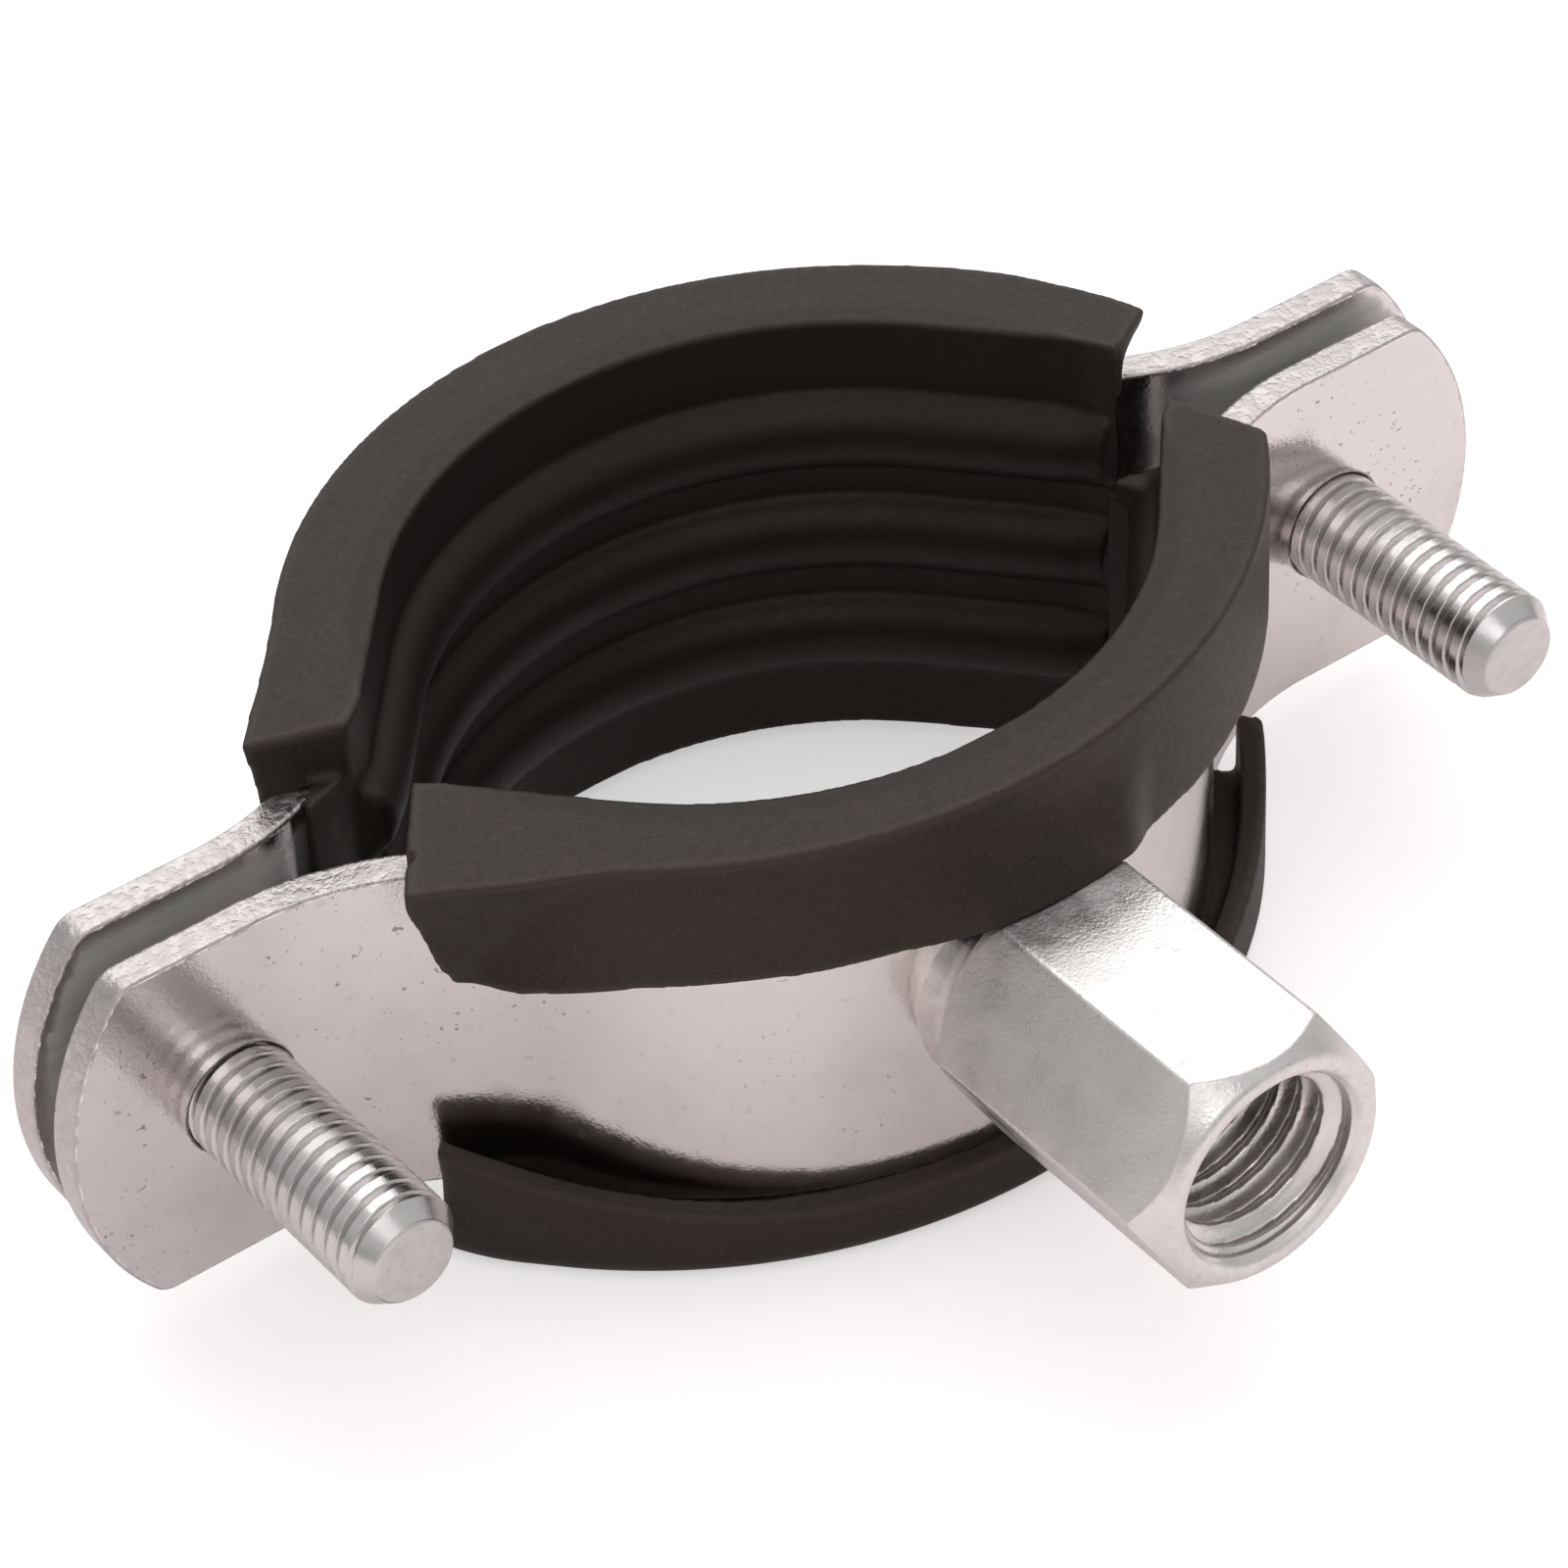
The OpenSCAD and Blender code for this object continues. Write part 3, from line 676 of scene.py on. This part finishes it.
def zinc(name, colour, rough, grain, specks, tear):
    """Bright zinc plate on sheet steel: fine grain, faint stains, brown specks, torn sheared edges with
    bright corners, and dull streaks on the inner sides of the ears, in a darker greenish grey that is
    painted shade for the gap between the ears."""
    mat, tree, bsdf = node_setup(name)
    k = Maker(tree)
    stain = k.span(k.noise(130, 3, 0.6), 0.45, 0.75)
    dust = k.span(k.noise(1500, 2, 0.6), 0.60, 0.78)
    spot = k.times(k.span(k.noise(2500, 2), 0.66, 0.73), k.span(k.noise(95, 1), 0.50, 0.60))
    mark = k.attribute("edge")
    edge = k.math("MAXIMUM", mark, 0.0)
    corner = k.times(k.span(mark, 0.05, 0.4), k.span(mark, 0.6, 0.95, 1.0, 0.0))
    torn = k.span(k.noise(1700, 3, 0.6), 0.32, 0.68)
    inner = k.span(k.times(mark, -1.0), 0.1, 0.9)
    streak = k.span(k.noise(60, 4, 0.7, k.stretched((1, 1, 9), (0, 0.6, 0))), 0.35, 0.70)
    col = k.mix(stain, colour, tuple(c * 0.88 for c in colour))
    col = k.mix(k.times(dust, 0.22), col, DUST)
    col = k.mix(k.times(spot, 0.7 * specks), col, BROWN)
    col = k.mix(k.times(edge, 0.85 * tear), col, TORN)
    col = k.mix(k.times(k.times(corner, tear), k.math("SUBTRACT", 1.0, torn)), col, TORN_CORNER)
    # painted shade: dull streaks of darker greenish grey on the inner sides of the ears, in the gap between
    # them
    col = k.mix(k.times(inner, streak), col, SHADED)
    tree.links.new(col, bsdf.inputs["Base Color"])
    r = k.span(k.noise(420, 4, 0.6), 0.3, 0.75, rough * 0.75, rough * 1.5)
    r = k.math("ADD", r, k.times(dust, 0.10))
    r = k.math("ADD", r, k.times(edge, k.span(torn, 0, 1, 0.14, 0.34, "LINEAR")))
    r = k.math("ADD", r, k.times(inner, 0.2))
    tree.links.new(r, bsdf.inputs["Roughness"])
    tree.links.new(k.span(inner, 0, 1, 1.0, 0.55, "LINEAR"), bsdf.inputs["Metallic"])
    n = k.bump(k.noise(260, 2), 0.000025)
    n = k.bump(k.noise(5200, 2, 0.6), 0.000009 * grain, n)
    n = k.bump(k.times(torn, edge), 0.00004 * tear, n)
    tree.links.new(n, bsdf.inputs["Normal"])
    return mat


def rubber(name):
    """Black moulded rubber: matt, slightly brown, with a fine grain, edges painted paler as wear and as
    painted sheen, and painted shade that darkens the side that holds the pipe."""
    mat, tree, bsdf = node_setup(name)
    k = Maker(tree)
    col = k.mix(k.span(k.noise(160, 4, 0.6), 0.35, 0.7), RUBBER, RUBBER_PALER)
    col = k.mix(k.times(k.span(k.noise(7000, 1, 0.6), 0.50, 0.80), 0.6), col, RUBBER_SPECK)
    # paler convex edges: wear, and painted sheen
    col = k.mix(k.times(k.span(k.attribute("edge"), 0.15, 0.9), 0.45), col, RUBBER_WEAR_AND_SHEEN)
    # painted shade: the side that holds the pipe, inside the ring, is made darker
    col = k.mix(k.times(k.attribute("inside"), 0.7), col, RUBBER_INSIDE_SHADE)
    tree.links.new(col, bsdf.inputs["Base Color"])
    bsdf.inputs["Specular IOR Level"].default_value = 0.39
    bsdf.inputs["Specular Tint"].default_value = RUBBER_SHEEN
    tree.links.new(k.span(k.noise(2400, 3, 0.6), 0.3, 0.7, 0.47, 0.55), bsdf.inputs["Roughness"])
    n = k.bump(k.noise(330, 3), 0.000014)
    n = k.bump(k.noise(5600, 3, 0.6), 0.000022, n)
    tree.links.new(n, bsdf.inputs["Normal"])
    return mat


def dress(obj, mat):
    obj.data.materials.clear()
    obj.data.materials.append(mat)


# ---------------------------------------------------------------- stage
FLOOR_SIZE, FLOOR_GAP, PAPER = 3, 0.00002, (0.84, 0.775, 0.765, 1)
# the floor's glow for the camera, and for rays that a surface mirrors
SEEN, MIRRORED = 0.50, 0.16
HORIZON, SKY, SKY_START, ROOM = (0.50, 0.53, 0.50, 1), (0.84, 0.85, 0.86, 1), 0.45, 0.75
WHITE = (1, 1, 1, 1)


def brightened(tree, shader):
    """The shader, and over it a plain glow: one for camera rays, another for mirrored ones."""
    n, link = tree.nodes, tree.links.new
    k = Maker(tree)
    path = n.new("ShaderNodeLightPath").outputs
    glow = n.new("ShaderNodeEmission")
    mirrored = k.math("MAXIMUM", path["Is Glossy Ray"], path["Is Transmission Ray"])
    link(k.math("MAXIMUM", k.times(path["Is Camera Ray"], SEEN), k.times(mirrored, MIRRORED)),
         glow.inputs["Strength"])
    add = n.new("ShaderNodeAddShader")
    link(shader.outputs[0], add.inputs[0])
    link(glow.outputs[0], add.inputs[1])
    return add


def make_floor():
    """Pale paper that keeps a soft shadow."""
    bpy.ops.mesh.primitive_plane_add(size=FLOOR_SIZE, location=(0, 0, cad_box[0][2] - FLOOR_GAP))
    floor = bpy.context.object
    floor.name = "floor"
    mat, tree, bsdf = node_setup("paper")
    bsdf.inputs["Base Color"].default_value = PAPER
    bsdf.inputs["Roughness"].default_value = 0.9
    bsdf.inputs["Specular IOR Level"].default_value = 0.1
    tree.links.new(brightened(tree, bsdf).outputs[0], tree.nodes["Material Output"].inputs["Surface"])
    dress(floor, mat)


def make_room():
    """A plain room that is darker near the horizon, and white where the camera sees it."""
    world = bpy.data.worlds.new("studio")
    bpy.context.scene.world = world
    world.use_nodes = True
    n, link = world.node_tree.nodes, world.node_tree.links.new
    path = n.new("ShaderNodeLightPath")
    split = n.new("ShaderNodeSeparateXYZ")
    link(n.new("ShaderNodeTexCoord").outputs["Generated"], split.inputs[0])
    ramp = n.new("ShaderNodeValToRGB")
    for end, place, colour in zip(ramp.color_ramp.elements, (0.0, SKY_START), (HORIZON, SKY)):
        end.position = place
        end.color = colour
    link(split.outputs["Z"], ramp.inputs[0])
    room = n["Background"]
    room.inputs["Strength"].default_value = ROOM
    link(ramp.outputs[0], room.inputs["Color"])
    white = n.new("ShaderNodeBackground")
    white.inputs["Color"].default_value = WHITE
    mix = n.new("ShaderNodeMixShader")
    link(path.outputs["Is Camera Ray"], mix.inputs[0])
    link(room.outputs[0], mix.inputs[1])
    link(white.outputs[0], mix.inputs[2])
    link(mix.outputs[0], n["World Output"].inputs["Surface"])


def lamp(name, place, size, power):
    """A square softbox that faces the middle of the part."""
    data = bpy.data.lights.new(name, "AREA")
    data.shape = "SQUARE"
    data.size = size
    data.energy = power
    obj = bpy.data.objects.new(name, data)
    obj.location = place
    obj.rotation_euler = Vector(place).to_track_quat("Z", "Y").to_euler()
    add_to_scene(obj)


# ---------------------------------------------------------------- the part
make_camera()
make_floor()
make_room()
lamp("overhead", (0.22, 0.40, 0.76), 1.1, 4.6)
lamp("front", (-0.30, -0.62, 0.72), 0.5, 0.8)
bpy.context.scene.view_settings.view_transform = "Standard"

# slots, with their materials: colour, roughness, grain, specks and tear
SLOTS = {
    "zinc_plate": zinc("zinc_plate", (0.77, 0.72, 0.715), 0.14, 1.0, 1.0, 1.0),
    "zinc_nut": zinc("zinc_nut", (0.81, 0.765, 0.75), 0.30, 2.0, 0.35, 0.3),
    "zinc_screw": zinc("zinc_screw", (0.63, 0.60, 0.59), 0.24, 0.8, 0.0, 0.15),
    "rubber_lining": rubber("rubber_lining"),
}
tapped = (SCREW_X, SCREW_Z, TAPPED_R, 0)
slotted = (SCREW_X, 0.0, SLOT_R, SLOT_REACH)
# piece, the node that it replaces, its body and its slot
PIECES = [
    (make_screw("screw_l", -1, 0.6), "screw_left", "left_screw", "zinc_screw"),
    (make_screw("screw_r", 1, 2.1), "screw_right", "right_screw", "zinc_screw"),
    (make_boss(), "boss_nut", "front_half", "zinc_nut"),
    (strip_half("strip_front", -1, 0.0, tapped), "band_front", "front_half", "zinc_plate"),
    (strip_half("strip_rear", 1, REAR_LIFT, slotted), "band_rear", "rear_half", "zinc_plate"),
    (make_lining("rubber_front", "lining_front", shape_front, FRONT_ENDS),
     "lining_front", "front_half", "rubber_lining"),
    (make_lining("rubber_rear", "lining_rear", shape_rear, REAR_ENDS),
     "lining_rear", "rear_half", "rubber_lining"),
]
for piece, node, body, slot in PIECES:
    dress(piece, SLOTS[slot])
    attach(piece, body)
    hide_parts(node)
